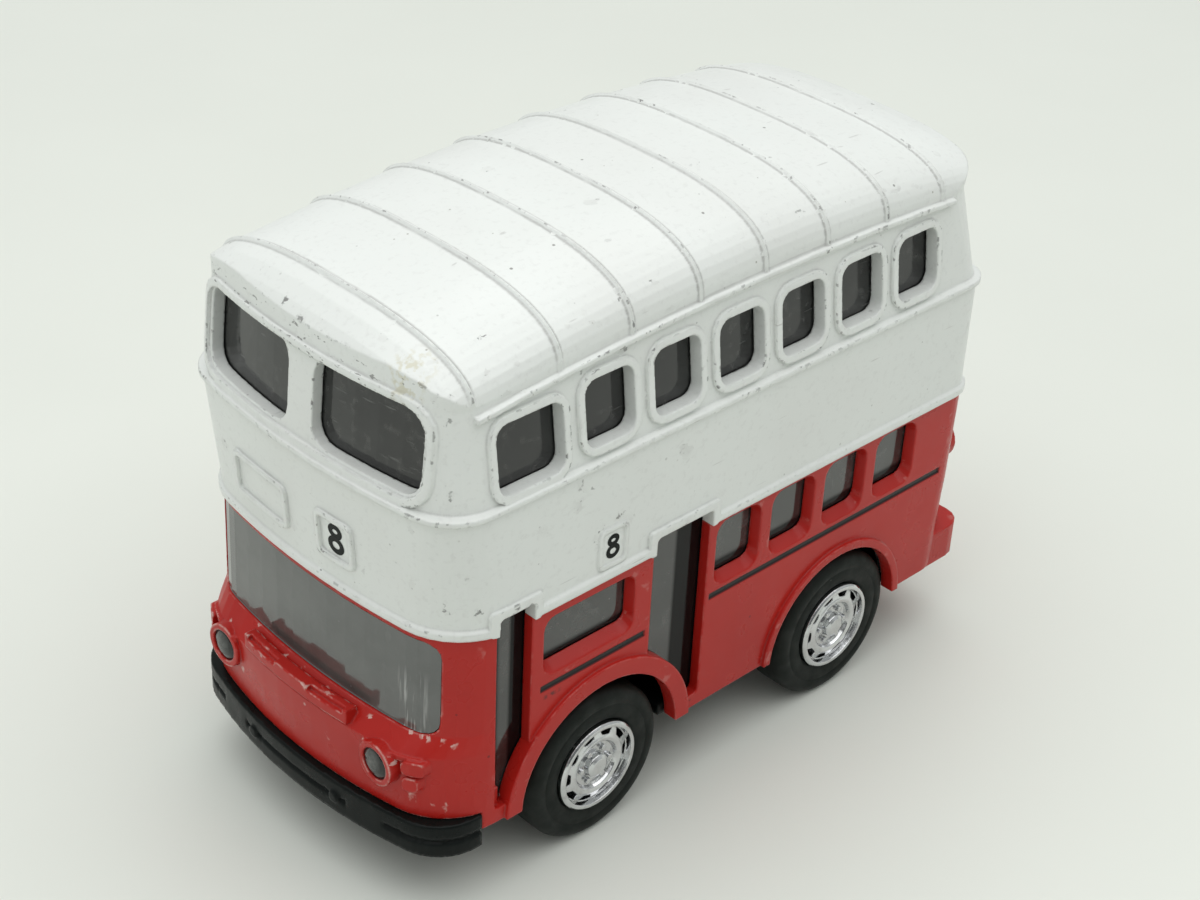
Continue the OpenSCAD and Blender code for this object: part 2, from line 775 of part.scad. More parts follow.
module stripe_grooves() {
    runs = [[mid_window_front + stripe_h, front_axle_x - rear_door_x + stripe_h],
        [door_rear_x - stripe_h, lower_row_rear - stripe_end]];
    difference() {
        union() {
            for (r = runs)
                translate([r[1], 0, stripe_z])
                    cube([r[0] - r[1], body_width, stripe_h]);
            translate([runs[1][1], -body_width, stripe_z])
                cube([runs[0][0] - runs[1][1], body_width, stripe_h]);
        }
        translate([-length, stripe_deep - half_w, 0])
            cube([2 * length, body_width - 2 * stripe_deep, crown_z]);
    }
}
module nose_bar() {
    x0 = bumper_end_x;
    difference() {
        intersection() {
            plan_band(nose_plan(bar_out), nose_plan(bar_out - bar_t), bar_bottom, bar_top);
            translate([x0, -bar_half, 0])
                cube([length, 2 * bar_half, crown_z]);
        }
        intersection() {
            plan_band(nose_plan(bar_out + 1), nose_plan(bar_out - handle_slot_deep), bar_bottom, bar_top);
            both_sides()
                front_prism(handle_y0, handle_y1, handle_slot_z, handle_slot_z + handle_slot_h,
                    handle_slot_h / 3, x0, x0 + length);
        }
    }
}
module nose_bits() {
    x0 = bumper_end_x;
    x1 = front_axle_x + front_overhang;
    brow_y = headlight_y - brow_in;
    nose_bar();
    intersection() {
        lower_shape(brow_out);
        both_sides()
            front_prism(brow_y, brow_y + brow_l, nose_top_z - brow_h, nose_top_z, brow_h / 3, x0, x1);
    }
    intersection() {
        lower_shape(indicator_out);
        both_sides() {
            front_prism(indicator_y, indicator_y + indicator_w, headlight_z + indicator_gap,
                headlight_z + indicator_gap + indicator_h, indicator_h / 4, x0, x1);
            front_prism(indicator_y, indicator_y + indicator_foot_w,
                headlight_z - indicator_gap - indicator_h, headlight_z - indicator_gap,
                indicator_h / 4, x0, x1);
        }
    }
    both_sides()
        translate([lens_back_x, headlight_y, headlight_z])
            rotate([0, 90, 0])
                cylinder(r = headlight_r + bezel_t, h = bezel_l);
}
module rear_step(x, half, z, h) {
    translate([0, 0, z])
        linear_extrude(h)
            polygon(rounded(x, rear_tip_x + rear_bumper_l, -half, half, rear_bumper_r));
}
module rear_bits() {
    rear_step(rear_tip_x, rear_bumper_half, rear_bumper_z, rear_bumper_h);
    rear_step(rear_tip_x + rear_step_in, rear_bumper_half - rear_step_in,
        rear_bumper_z + rear_bumper_h, rear_step_h);
    both_sides()
        translate([rear_tip_x + lamp_in, lamp_y, lamp_z])
            rotate([0, 90, 0])
                cylinder(r = lamp_r, h = lamp_l);
}
module headlight_bores() {
    both_sides()
        translate([lens_back_x - cut_in / 2, headlight_y, headlight_z])
            rotate([0, 90, 0])
                cylinder(r = headlight_r, h = cut_in + cut_out);
}
module lower_lugs(g) {
    both_sides()
        for (x = [bumper_end_x - lug_l, body_rear_x + rear_undercut + lug_l / 2])
            translate([x - g, half_w - lug_in, floor_top - g])
                cube([lug_l + 2 * g, lug_in - wall / 2, lug_l + 2 * g]);
}
module lower_casting() {
    color(red) {
        difference() {
            union() {
                difference() {
                    lower_shape(0);
                    lower_doors();
                }
                arch_rings();
                nose_bits();
                rear_bits();
            }
            lower_shape(-wall, sill_z - cut_out, lip_z + cut_out);
            arch_cuts(0);
            lower_side_windows();
            windscreen_prism(0);
            stripe_grooves();
            headlight_bores();
            translate([bumper_end_x - fixed_gap, -body_width, 0])
                cube([length, 2 * body_width, bumper_top + fixed_gap]);
        }
        intersection() {
            lower_lugs(0);
            lower_shape(-wall / 2);
        }
    }
}

// Glazing
module upper_glazing() {
    color(smoke)
        intersection() {
            difference() {
                plain_shape(-wall - fixed_gap);
                plain_shape(-wall - fixed_gap - glass_t);
            }
            slab(band_z, front_window_z + front_window_h + flange);
        }
}
module lower_glazing() {
    color(grey_glass)
        difference() {
            intersection() {
                difference() {
                    lower_shape(-wall - fixed_gap, sill_z, glazing_top);
                    lower_shape(-wall - fixed_gap - glass_t, sill_z - cut_out, glazing_top + cut_out);
                }
                translate([-length, -body_width, sill_z + door_step_h - flange / 2])
                    cube([length + glazing_front_x, 2 * body_width, glazing_top]);
            }
            arch_cuts(arch_proud);
            lower_lugs(fixed_gap);
        }
}
module windscreen() {
    color(grey_glass) {
        intersection() {
            difference() {
                lower_shape(-glass_in);
                lower_shape(-wall - fixed_gap, sill_z - cut_out, lip_z + cut_out);
            }
            windscreen_prism(fixed_gap);
        }
        intersection() {
            difference() {
                lower_shape(-wall - fixed_gap);
                lower_shape(-wall - fixed_gap - glass_t, sill_z - cut_out, lip_z + cut_out);
            }
            front_prism(-windscreen_half - flange, windscreen_half + flange, windscreen_z - flange,
                windscreen_top + flange / 2, windscreen_r / 2, glazing_front_x + fixed_gap,
                front_axle_x + front_overhang);
        }
    }
}
module headlight_lens(side) {
    dome_steps = 5;
    color(grey_glass)
        translate([lens_back_x, side * headlight_y, headlight_z])
            rotate([0, 90, 0])
                rotate_extrude()
                    polygon(concat([[0, 0], [headlight_r, 0], [headlight_r, lens_l]],
                        [for (i = [1 : dome_steps]) let (a = 90 * i / dome_steps)
                            [headlight_r * cos(a), lens_l + lens_dome * sin(a)]]));
}

// Base with the front bumper
module front_part() {
    translate([bumper_end_x, -body_width, 0])
        cube([length, 2 * body_width, crown_z]);
}
module bumper_band() {
    plan_band(level_plan(bumper_plan), level_plan(inset(bumper_plan, bumper_t)), bumper_bottom, bumper_top);
}
module bumper() {
    intersection() {
        union() {
            difference() {
                bumper_band();
                bumper_groove();
            }
            translate([0, 0, sill_z])
                linear_extrude(floor_t)
                    polygon(level_plan(inset(bumper_plan, bumper_t / 2)));
            bumper_pads();
        }
        front_part();
    }
}
module bumper_groove() {
    z = bumper_bottom + (bumper_h - groove_h) / 2;
    plan_band(level_plan(inset(bumper_plan, -1)), level_plan(inset(bumper_plan, groove_deep)),
        z, z + groove_h);
}
module bumper_pads() {
    x0 = bumper_end_x;
    intersection() {
        bumper_band();
        both_sides()
            front_prism(pad_y0, pad_y1, bumper_bottom + pad_in, bumper_top - pad_in, pad_in / 2,
                x0, x0 + length);
    }
    both_sides()
        translate([front_axle_x + front_overhang - bumper_t, knob_y, (bumper_bottom + bumper_top) / 2])
            rotate([0, 90, 0])
                cylinder(r = knob_r, h = bumper_t - knob_in);
}
module base_floor() {
    difference() {
        translate([0, 0, sill_z])
            linear_extrude(floor_t)
                polygon(level_plan(inset(lower_levels[0], wall + fixed_gap)));
        for (x = [front_axle_x, rear_axle_x])
            both_sides()
                translate([x - tyre_r - wheel_gap, inner_y, 0])
                    cube([2 * (tyre_r + wheel_gap), body_width, crown_z]);
        translate([case_rear_x - fixed_gap, -case_half_w - fixed_gap, 0])
            cube([case_front_x - case_rear_x + 2 * fixed_gap, 2 * (case_half_w + fixed_gap), crown_z]);
    }
}
module wheel_wells() {
    for (a = [[front_axle_x, front_arch_r], [rear_axle_x + rear_arch_shift, rear_arch_r]])
        both_sides()
            translate([a[0] - a[1], inner_y - well_t, floor_top - eps])
                cube([2 * a[1], well_t, axle_z + a[1] - floor_top]);
}
module base_boss(x, r) {
    translate([x, 0, bumper_bottom])
        cylinder(r = r, h = floor_top - bumper_bottom);
}
module base_plate() {
    color(black)
        difference() {
            union() {
                base_floor();
                wheel_wells();
                bumper();
                translate([front_axle_x - axle_block_l / 2, -inner_y, bumper_bottom])
                    cube([axle_block_l, 2 * inner_y, floor_top - bumper_bottom]);
                for (x = [post_front_x, post_rear_x])
                    base_boss(x, screw_head_r + screw_boss_t);
                for (x = motor_screw_x)
                    base_boss(x, motor_boss_r);
            }
            along_y(front_axle_x, axle_z)
                cylinder(r = axle_r + running_gap, h = body_width, center = true);
            translate([rear_axle_x - axle_r - axle_slot, -half_w, 0])
                cube([2 * (axle_r + axle_slot), body_width, axle_z + axle_r + axle_slot]);
            for (x = [post_front_x, post_rear_x])
                translate([x, 0, 0]) {
                    cylinder(r = screw_r + fixed_gap, h = crown_z);
                    cylinder(r = screw_head_r + fixed_gap, h = screw_seat);
                }
            for (x = motor_screw_x)
                translate([x, 0, floor_top - motor_screw_l])
                    cylinder(r = motor_screw_r, h = crown_z);
        }
}
module body_screws() {
    color(steel)
        for (x = [post_front_x, post_rear_x])
            translate([x, 0, screw_seat])
                difference() {
                    union() {
                        translate([0, 0, -screw_head_h])
                            cylinder(r = screw_head_r, h = screw_head_h);
                        translate([0, 0, -eps])
                            cylinder(r = screw_r, h = floor_top + screw_l - 1 - screw_seat);
                    }
                    for (a = [0, 90])
                        rotate([0, 0, a])
                            translate([-cross_l / 2, -cross_w / 2, -screw_head_h - eps])
                                cube([cross_l, cross_w, cross_deep]);
                }
}

// Axles and wheels
module axle(x) {
    color(steel)
        along_y(x, axle_z)
            cylinder(r = axle_r, h = 2 * axle_half, center = true);
}
module front_axle() {
    axle(front_axle_x);
}
module rear_axle() {
    axle(rear_axle_x);
}
module hub_form() {
    rim_in = rim_r - rim_t;
    ring_r = hub_ring_r;
    difference() {
        rotate_extrude()
            polygon([[axle_r, 0], [hub_boss_r, 0], [hub_boss_r, hub_w - web_in], [rim_in, hub_w - web_in],
                [rim_in, tyre_in], [rim_r, tyre_in], [rim_r, hub_w - 0.35], [rim_r - 0.25, hub_w - 0.1],
                [rim_in, hub_w - 0.1], [rim_in - 0.2, hub_w - 0.9], [ring_r, hub_w - 0.5],
                [ring_r - 0.3, hub_w - 0.35], [ring_r - 0.8, hub_w - 0.5], [ring_r - 1.1, hub_w - 1.1],
                [cap_r + 0.1, hub_w - 1.1], [cap_r, hub_w - 0.3], [cap_r - 0.5, hub_w], [0, hub_w],
                [0, hub_end], [axle_r, hub_end]]);
        for (i = [0 : hub_slots - 1])
            rotate([0, 0, 360 * i / hub_slots])
                translate([0, 0, hub_w - web_in - 1])
                    linear_extrude(web_in + 2)
                        hub_slot(ring_r + slot_margin, rim_in - 2 * slot_margin);
    }
    for (i = [0 : nut_count - 1])
        rotate([0, 0, 360 * i / nut_count])
            translate([nut_circle_r, 0, hub_w - web_in / 2])
                cylinder(r = nut_r, h = nut_h, $fn = 6);
}
module hub_slot(r0, r1) {
    pitch = 360 / hub_slots;
    inner = pitch * 0.24;
    outer = pitch * 0.36;
    polygon([r0 * [cos(inner), -sin(inner)], r1 * [cos(outer), -sin(outer)], [r1, 0],
        r1 * [cos(outer), sin(outer)], r0 * [cos(inner), sin(inner)]]);
}
module tyre_form() {
    edge = tyre_edge;
    edge_r = tyre_r - tyre_crown - edge;
    steps = 4;
    rotate_extrude()
        polygon(concat([[rim_r, tyre_in], [rim_r, tyre_face]],
            [for (i = [0 : steps]) let (a = 90 - 90 * i / steps)
                [edge_r + edge * cos(a), tyre_face - edge + edge * sin(a)]],
            [[tyre_r, (tyre_in + tyre_face) / 2]],
            [for (i = [0 : steps]) let (a = -90 * i / steps)
                [edge_r + edge * cos(a), tyre_in + edge + edge * sin(a)]]));
}
module place_wheel(x, side) {
    translate([x, side * (track_over_hubs / 2 - hub_w), axle_z])
        rotate([-side * 90, 0, 0])
            children();
}
module hub(x, side) {
    color(chrome)
        place_wheel(x, side)
            hub_form();
}
module tyre(x, side) {
    color(black)
        place_wheel(x, side)
            tyre_form();
}

// Motor
function involute(a) = tan(a) * 180 / PI - a;
function gear_points(teeth) =
    let (pitch = gear_module * teeth / 2,
        base = pitch * cos(pressure_angle),
        half = 90 / teeth - gear_backlash / pitch * 90 / PI,
        radii = [pitch - dedendum, base, (base + pitch) / 2, pitch, pitch + addendum],
        at = [for (r = radii) half + involute(pressure_angle) - involute(acos(min(1, base / r)))])
    [for (k = [0 : teeth - 1]) for (i = [0 : 9])
        let (j = i < 5 ? i : 9 - i, a = 360 * k / teeth + (i < 5 ? -at[j] : at[j]))
        radii[j] * [cos(a), sin(a)]];
module gear(teeth, phase) {
    translate([0, 0, -gear_side])
        linear_extrude(gear_w)
            rotate(-phase)
                polygon(gear_points(teeth));
}
module axle_pinion() {
    color(steel)
        along_y(pinion_at.x, pinion_at.y)
            difference() {
                union() {
                    gear(pinion_teeth, idler_angle);
                    translate([0, 0, end_float - case_inner_w / 2])
                        cylinder(r = axle_r + sleeve_t, h = case_inner_w - 2 * end_float);
                }
                cylinder(r = axle_r, h = body_width, center = true);
            }
}
module idler_gear() {
    color("ivory")
        along_y(idler_at.x, idler_at.y)
            difference() {
                union() {
                    gear(idler_teeth, idler_phase);
                    translate([0, 0, end_float - case_inner_w / 2])
                        cylinder(r = idler_pin_r + sleeve_t, h = case_inner_w - 2 * end_float);
                }
                cylinder(r = idler_pin_r + running_gap, h = body_width, center = true);
            }
}
module spring_drum() {
    color("ivory")
        along_y(drum_at.x, drum_at.y)
            difference() {
                union() {
                    gear(drum_teeth, drum_phase);
                    translate([0, 0, gear_w - gear_side - eps])
                        cylinder(r = drum_cup_r, h = 2 * gear_side - gear_w + eps);
                }
                translate([0, 0, gear_w - gear_side + cup_floor])
                    cylinder(r = drum_cup_r - drum_cup_t, h = body_width);
                cylinder(r = arbor_r + running_gap, h = body_width, center = true);
            }
}
module mainspring() {
    turn_steps = 24;
    r0 = arbor_r + 2 * spring_t;
    r1 = drum_cup_r - drum_cup_t - fixed_gap - spring_t;
    steps = ceil(spring_turns * turn_steps);
    low = gear_w - gear_side + cup_floor + end_float;
    spiral = [for (i = [0 : steps]) [r0 + (r1 - r0) * i / steps, 360 * spring_turns * i / steps]];
    color(steel)
        along_y(drum_at.x, drum_at.y)
            translate([0, 0, low])
                linear_extrude(gear_side - low - end_float)
                    polygon(concat([for (p = spiral) p[0] * [cos(p[1]), sin(p[1])]],
                        [for (i = [steps : -1 : 0])
                            (spiral[i][0] + spring_t) * [cos(spiral[i][1]), sin(spiral[i][1])]]));
}
module case_form() {
    inner = case_inner_w / 2;
    difference() {
        union() {
            side_prism(case_rear_x, case_front_x, case_bottom, case_top, case_r, -case_half_w, case_half_w);
            translate([case_rear_x - tab_l, -tab_w / 2, floor_top])
                cube([case_front_x - case_rear_x + 2 * tab_l, tab_w, tab_t]);
        }
        side_prism(case_rear_x + case_wall, case_front_x - case_wall,
            case_bottom + case_wall, case_top - case_wall, case_r - case_wall, -inner, inner);
        along_y(rear_axle_x, axle_z)
            cylinder(r = axle_r + running_gap, h = body_width, center = true);
        for (x = motor_screw_x)
            translate([x, 0, 0])
                cylinder(r = motor_screw_r + fixed_gap, h = crown_z);
    }
}
module case_half(side) {
    intersection() {
        case_form();
        translate([-length, side > 0 ? 0 : -body_width, 0])
            cube([2 * length, body_width, crown_z]);
    }
}
module motor_case_left() {
    color(black) {
        case_half(1);
        along_y(drum_at.x, drum_at.y)
            translate([0, 0, pin_gap - case_inner_w / 2])
                cylinder(r = arbor_r, h = case_inner_w - pin_gap + eps);
    }
}
module motor_case_right() {
    color(black) {
        case_half(-1);
        along_y(idler_at.x, idler_at.y)
            translate([0, 0, -case_inner_w / 2 - eps])
                cylinder(r = idler_pin_r, h = case_inner_w - pin_gap);
    }
}
module motor_screws() {
    color(steel)
        for (x = motor_screw_x)
            translate([x, 0, floor_top + tab_t]) {
                cylinder(r = motor_screw_head_r, h = motor_screw_head_h);
                translate([0, 0, -tab_t - motor_screw_l])
                    cylinder(r = motor_screw_r, h = tab_t + motor_screw_l + eps);
            }
}

upper_casting();
lower_casting();
upper_glazing();
lower_glazing();
windscreen();
headlight_lens(1);  // headlight_lens_left
headlight_lens(-1);  // headlight_lens_right
base_plate();
body_screws();
front_axle();
rear_axle();
hub(front_axle_x, 1);  // hub_front_left
hub(front_axle_x, -1);  // hub_front_right
hub(rear_axle_x, 1);  // hub_rear_left
hub(rear_axle_x, -1);  // hub_rear_right
tyre(front_axle_x, 1);  // tyre_front_left
tyre(front_axle_x, -1);  // tyre_front_right
tyre(rear_axle_x, 1);  // tyre_rear_left
tyre(rear_axle_x, -1);  // tyre_rear_right
motor_case_left();
motor_case_right();
axle_pinion();
idler_gear();
spring_drum();
mainspring();
motor_screws();
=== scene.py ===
"""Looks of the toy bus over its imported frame: die-cast paint, smoke plastic, chrome and rubber."""
import json
import math

import bmesh
import bpy
from mathutils import Matrix, Vector
from mathutils.bvhtree import BVHTree


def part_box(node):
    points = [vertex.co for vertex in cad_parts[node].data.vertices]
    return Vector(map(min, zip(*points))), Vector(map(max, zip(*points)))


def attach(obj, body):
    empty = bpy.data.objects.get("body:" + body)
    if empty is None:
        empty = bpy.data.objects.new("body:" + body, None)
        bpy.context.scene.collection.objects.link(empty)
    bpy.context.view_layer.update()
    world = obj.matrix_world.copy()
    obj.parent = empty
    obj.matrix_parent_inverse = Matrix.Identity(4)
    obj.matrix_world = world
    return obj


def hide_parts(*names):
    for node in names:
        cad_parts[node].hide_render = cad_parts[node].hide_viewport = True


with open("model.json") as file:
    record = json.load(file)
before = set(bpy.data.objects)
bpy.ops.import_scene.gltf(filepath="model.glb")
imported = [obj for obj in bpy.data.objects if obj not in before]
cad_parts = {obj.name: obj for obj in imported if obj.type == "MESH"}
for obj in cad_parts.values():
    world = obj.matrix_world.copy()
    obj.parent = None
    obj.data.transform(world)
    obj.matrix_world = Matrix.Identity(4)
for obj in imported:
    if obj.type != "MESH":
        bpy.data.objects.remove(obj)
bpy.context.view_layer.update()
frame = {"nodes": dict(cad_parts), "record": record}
NODES = frame["nodes"]
MM = 0.001

# Places on the bus, in millimetres
FRONT_AXLE_X = 21.65
REAR_AXLE_X = -22.35
AXLE_Z = 10.7
HALF_WIDTH = 24.2
LIP_Z = 38.95
HEADLIGHT = (48.6, 14.8, 20.2)
HEADLIGHT_R = 2.1
STRIPE_LOW, STRIPE_HIGH = 27.25, 28.2
STRIPE_REAR, STRIPE_FRONT = -41.55, 31.75
DOOR_REAR, DOOR_FRONT = 3.55, 14.75
WINDSCREEN_X = 39.4
STAIN_AT = (43.2, 15.5, 70.3)
ROOF_LOW, ROOF_HIGH = 66.0, 70.0

# Shaded stretches of the lower panes: from and to along the bus with a soft edge, and heights at the sills
DOOR_SHADES = ((37.1, 39.3, 0.25), (32.0, 35.4, 0.25), (3.8, 8.6, 0.3))
SILL_SHADE = (29.0, 31.4, 0.3)

# Figures on the plates: middle, height, direction across and direction outward
FRONT_FIGURE = ((47.0, 6.0, LIP_Z + 7.45), 4.4, (0, 1, 0), (1, 0, 0))
SIDE_FIGURE = ((21.05, HALF_WIDTH, LIP_Z + 4.5), 3.5, (1, 0, 0), (0, 1, 0))

# Softening of the cast and moulded edges: depth of the grid, rounds of smoothing, share of the faces kept
CASTING_EDGES = (9, 3, 0.35)
BASE_EDGES = (8, 2)
HUB_EDGES = (7, 1)

# The photograph's camera: place in millimetres, direction in degrees, focal length in pixels of its width
CAMERA_AT = (172.649, 172.075, 191.191)
CAMERA_AZIMUTH, CAMERA_ELEVATION, CAMERA_ROLL = 134.844, 32.471, -2.847
CAMERA_FOCAL, PHOTO_WIDTH, SENSOR = 2234.15, 1200.0, 36.0


# Materials
class Paint:
    """A Principled material with the nodes that feed it, all placed by the frame's own metres."""

    def __init__(self, name, color, roughness, **sockets):
        self.material = bpy.data.materials.new(name)
        self.material.use_nodes = True
        self.tree = self.material.node_tree
        self.shader = self.tree.nodes["Principled BSDF"]
        self.place = self.node("ShaderNodeTexCoord").outputs["Object"]
        self.color = (*color, 1.0)
        self.set("Base Color", self.color)
        self.set("Roughness", roughness)
        for socket, value in sockets.items():
            self.set(socket.replace("_", " "), value)

    def set(self, socket, value):
        target = self.shader.inputs[socket]
        if isinstance(value, bpy.types.NodeSocket):
            self.tree.links.new(value, target)
        else:
            target.default_value = value

    def node(self, kind, inputs=(), **settings):
        made = self.tree.nodes.new(kind)
        for key, value in settings.items():
            setattr(made, key, value)
        for socket, value in dict(inputs).items():
            if isinstance(value, bpy.types.NodeSocket):
                self.tree.links.new(value, made.inputs[socket])
            else:
                made.inputs[socket].default_value = value
        return made

    def math(self, operation, first, second=0.0):
        return self.node("ShaderNodeMath", {0: first, 1: second}, operation=operation).outputs[0]

    def product(self, *factors):
        result = factors[0]
        for factor in factors[1:]:
            result = self.math("MULTIPLY", result, factor)
        return result

    def ramp(self, value, low, high, out_low=0.0, out_high=1.0):
        """value stretched from low..high to out_low..out_high, and held at both ends."""
        made = self.node("ShaderNodeMapRange", {
            "Value": value, "From Min": low, "From Max": high, "To Min": out_low, "To Max": out_high})
        return made.outputs["Result"]

    def noise(self, grain_mm, detail=2.0, stretch=(1.0, 1.0, 1.0), shift=0.0):
        """Noise whose grain is about grain_mm across, drawn out along an axis where stretch is above 1."""
        placed = self.node("ShaderNodeMapping", {
            "Vector": self.place, "Location": (shift, shift, shift),
            "Scale": tuple(1.0 / s for s in stretch)}).outputs["Vector"]
        return self.node("ShaderNodeTexNoise", {
            "Vector": placed, "Scale": 1.0 / (grain_mm * MM), "Detail": detail}).outputs["Fac"]

    def axes(self):
        """The three coordinates of the place, in millimetres."""
        split = self.node("ShaderNodeSeparateXYZ", {0: self.place})
        return [self.math("MULTIPLY", split.outputs[i], 1.0 / MM) for i in range(3)]

    def band(self, value, low, high, soft=0.15):
        """1 where value lies between low and high, with soft edges."""
        rise = self.ramp(value, low - soft, low + soft)
        fall = self.ramp(value, high + soft, high - soft)
        return self.product(rise, fall)

    def spot(self, at, radius, soft):
        """1 within radius of a place in millimetres, fading over soft."""
        far = self.node("ShaderNodeVectorMath", {
            0: self.place, 1: tuple(v * MM for v in at)}, operation="DISTANCE").outputs["Value"]
        return self.ramp(far, (radius + soft) * MM, (radius - soft) * MM)

    def specks(self, cell_mm, size, share, shift=0.0):
        """Dots in a share of a grid's cells, with their size as a part of a cell."""
        placed = self.node("ShaderNodeMapping", {
            "Vector": self.place, "Location": (shift, shift, shift)}).outputs["Vector"]
        cells = self.node("ShaderNodeTexVoronoi", {"Vector": placed, "Scale": 1.0 / (cell_mm * MM)})
        pick = self.node("ShaderNodeSeparateColor", {0: cells.outputs["Color"]})
        dot = self.ramp(cells.outputs["Distance"], size, size * 0.6)
        return self.product(dot, self.math("LESS_THAN", pick.outputs[0], share))

    def edges(self, low, high):
        """1 on sharp outer edges of a dense mesh, from low to high pointiness."""
        sharp = self.node("ShaderNodeNewGeometry").outputs["Pointiness"]
        return self.ramp(sharp, low, high)

    def creases(self, low, high):
        """1 in the hollow corners of a dense mesh, fading from low to high pointiness."""
        sharp = self.node("ShaderNodeNewGeometry").outputs["Pointiness"]
        return self.ramp(sharp, high, low)

    def cover(self, factor, color):
        """Lays another colour over what is there, by factor."""
        under = self.color
        mixed = self.node("ShaderNodeMix", {"Factor": factor}, data_type="RGBA")
        for index, value in ((6, under), (7, (*color, 1.0))):
            if isinstance(value, bpy.types.NodeSocket):
                self.tree.links.new(value, mixed.inputs[index])
            else:
                mixed.inputs[index].default_value = value
        self.color = mixed.outputs[2]
        self.set("Base Color", self.color)

    def dull(self, factor):
        """Takes the mirror off the surface, by factor."""
        level = self.shader.inputs["Specular IOR Level"]
        before = level.links[0].from_socket if level.links else level.default_value
        self.set("Specular IOR Level", self.math("MULTIPLY", self.ramp(factor, 0.0, 1.0, 1.0, 0.15), before))

    def bump(self, height, depth_mm, strength=1.0):
        made = self.node("ShaderNodeBump", {
            "Height": height, "Distance": depth_mm * MM, "Strength": strength})
        self.set("Normal", made.outputs["Normal"])


def white_paint():
    p = Paint("white_paint", (0.8, 0.825, 0.8), 0.36, Coat_Weight=0.2, Coat_Roughness=0.2)
    x, _, z = p.axes()
    p.cover(p.ramp(p.noise(22.0, 3.0), 0.45, 0.75, 0.0, 0.5), (0.74, 0.75, 0.725))
    # painted shade: the hollow creases of the white paint are darkened, patchy by noise
    crease_shade_mottle = p.ramp(p.noise(5.0, 3.0), 0.3, 0.7, 0.25, 0.7)
    p.cover(p.product(p.creases(0.44, 0.49), crease_shade_mottle), (0.45, 0.45, 0.435))
    # painted shade: darker still in the creases high on the roof, beside the ribs
    p.cover(p.product(p.creases(0.47, 0.497), p.ramp(z, 69.5, 71.0, 0.0, 0.8)), (0.4, 0.4, 0.39))
    edge = p.edges(0.51, 0.54)
    worn = p.ramp(p.noise(11.0, 2.0, shift=0.05), 0.4, 0.55)
    p.cover(p.product(edge, worn, p.ramp(p.noise(0.9, 5.0), 0.57, 0.63), 0.85), (0.16, 0.16, 0.155))
    p.cover(p.product(edge, p.ramp(p.noise(4.0, 3.0, shift=0.2), 0.45, 0.7, 0.0, 0.35)), (0.5, 0.5, 0.48))
    eaves = p.product(p.ramp(x, 43.5, 45.0), p.band(z, 67.0, 71.5, 0.5))
    chips = p.ramp(p.noise(0.55, 4.0, (1.0, 2.5, 1.0), 0.4), 0.64, 0.67)
    p.cover(p.product(eaves, chips, 0.8), (0.2, 0.2, 0.19))
    scratch = p.ramp(p.noise(0.5, 1.0, (14.0, 2.0, 1.0), 0.7), 0.76, 0.8)
    p.cover(p.product(scratch, 0.5), (0.45, 0.45, 0.43))
    on_roof = p.ramp(z, ROOF_LOW, ROOF_HIGH, 0.35, 1.0)
    p.cover(p.product(p.specks(3.2, 0.075, 0.2), on_roof, 0.8), (0.16, 0.155, 0.14))
    p.cover(p.product(p.specks(1.7, 0.1, 0.07, 0.3), on_roof, 0.7), (0.3, 0.28, 0.24))
    p.cover(p.product(p.specks(2.3, 0.07, 0.2, 0.8), 0.55), (0.35, 0.35, 0.33))
    p.cover(p.ramp(p.noise(0.7, 3.0), 0.55, 0.75, 0.0, 0.3), (0.62, 0.63, 0.61))
    stain = p.ramp(p.noise(0.9, 3.0), 0.5, 0.62)
    p.cover(p.product(p.spot(STAIN_AT, 2.2, 1.6), stain, 0.8), (0.5, 0.44, 0.2))
    p.set("Roughness", p.ramp(p.noise(6.0, 3.0), 0.3, 0.7, 0.3, 0.42))
    p.bump(p.noise(0.8, 2.0), 0.02, 0.35)
    return p.material


def red_paint():
    p = Paint("red_paint", (0.46, 0.016, 0.011), 0.3, Specular_IOR_Level=0.3)
    x, y, z = p.axes()
    side = p.math("ABSOLUTE", y)
    p.cover(p.ramp(p.noise(14.0, 3.0), 0.4, 0.75, 0.0, 0.6), (0.38, 0.013, 0.01))
    # painted shade: the hollow creases of the red paint are darkened
    p.cover(p.product(p.creases(0.42, 0.48), 0.6), (0.14, 0.008, 0.007))
    on_nose = p.product(p.ramp(x, 40.0, 43.0), p.ramp(z, 29.0, 27.5))
    edge = p.edges(0.52, 0.57)
    wear = p.ramp(p.noise(1.6, 4.0), 0.47, 0.58)
    p.cover(p.product(edge, wear, p.ramp(on_nose, 0.0, 1.0, 0.2, 0.95)), (0.66, 0.42, 0.38))
    stripe = p.product(p.band(z, STRIPE_LOW, STRIPE_HIGH, 0.08), p.ramp(side, 23.2, 23.4),
                       p.band(x, STRIPE_REAR, STRIPE_FRONT, 0.1))
    doorway = p.product(p.band(x, DOOR_REAR, DOOR_FRONT, 0.1), p.ramp(y, 0.0, 1.0))
    p.cover(p.product(stripe, p.math("SUBTRACT", 1.0, doorway)), (0.012, 0.011, 0.011))
    p.cover(p.product(p.specks(3.4, 0.07, 0.12, 0.6), 0.7), (0.07, 0.012, 0.012))
    p.cover(p.product(p.specks(4.3, 0.06, 0.1, 0.2), 0.7), (0.6, 0.42, 0.4))
    under_stripe = p.product(p.band(x, 28.6, 31.2, 0.4), p.band(z, 26.0, 26.6, 0.15), p.ramp(y, 22.0, 23.0))
    p.cover(p.product(under_stripe, p.ramp(p.noise(0.8, 3.0), 0.45, 0.6), 0.8), (0.06, 0.012, 0.012))
    p.set("Roughness", p.ramp(p.noise(5.0, 3.0), 0.3, 0.7, 0.24, 0.38))
    p.bump(p.noise(0.8, 2.0), 0.02, 0.35)
    return p.material


